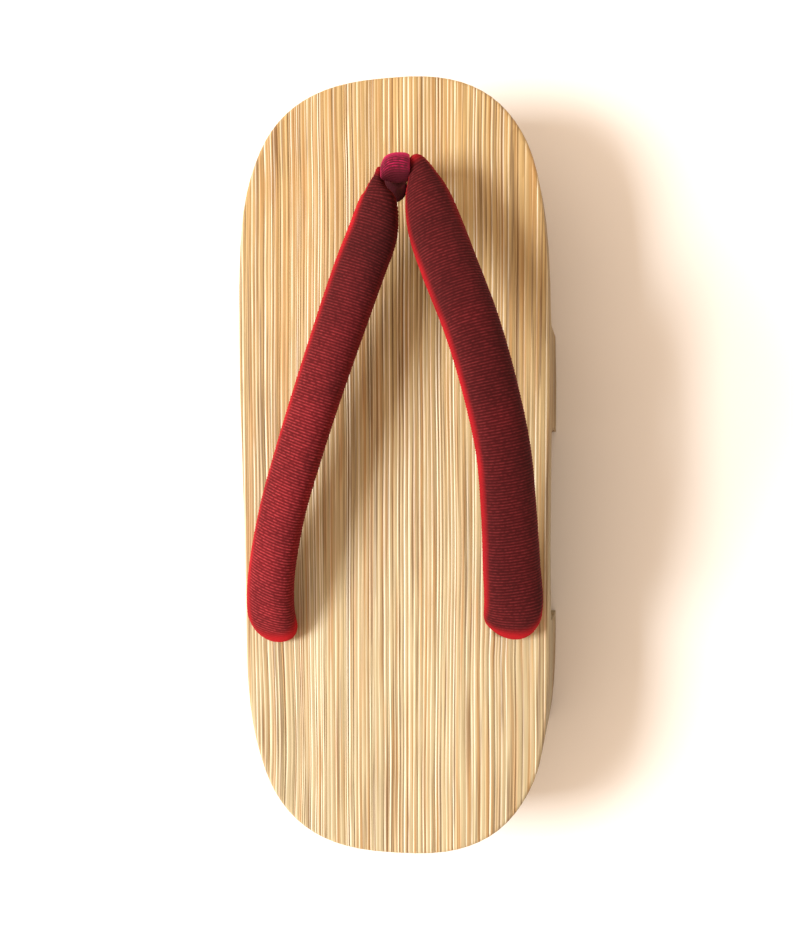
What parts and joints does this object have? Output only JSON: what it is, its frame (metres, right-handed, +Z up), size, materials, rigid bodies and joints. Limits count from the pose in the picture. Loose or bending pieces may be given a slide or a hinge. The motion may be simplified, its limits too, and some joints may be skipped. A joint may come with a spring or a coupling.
{
  "type": "geta sandal",
  "caption": "Wooden sandal carved with its standing teeth from one block, with a padded ribbed velvet thong strap, a gathered toe loop and cord knots under the board.",
  "frame": {"origin": "on the floor under the middle of the board", "axes": "+Z up, +Y along the board towards the toe, +X to the wearer's right"},
  "size_m": [0.0966, 0.236, 0.0798],
  "materials": {
    "cedar": "satin",
    "strap_velvet": "matte",
    "loop_velvet": "matte",
    "cord": "matte"
  },
  "bodies": {
    "root": {"wooden_sole": "cedar", "strap": "strap_velvet", "toe_loop": "loop_velvet", "front_knot": "cord", "rear_knot_left": "cord", "rear_knot_right": "cord"}
  },
  "joints": []
}
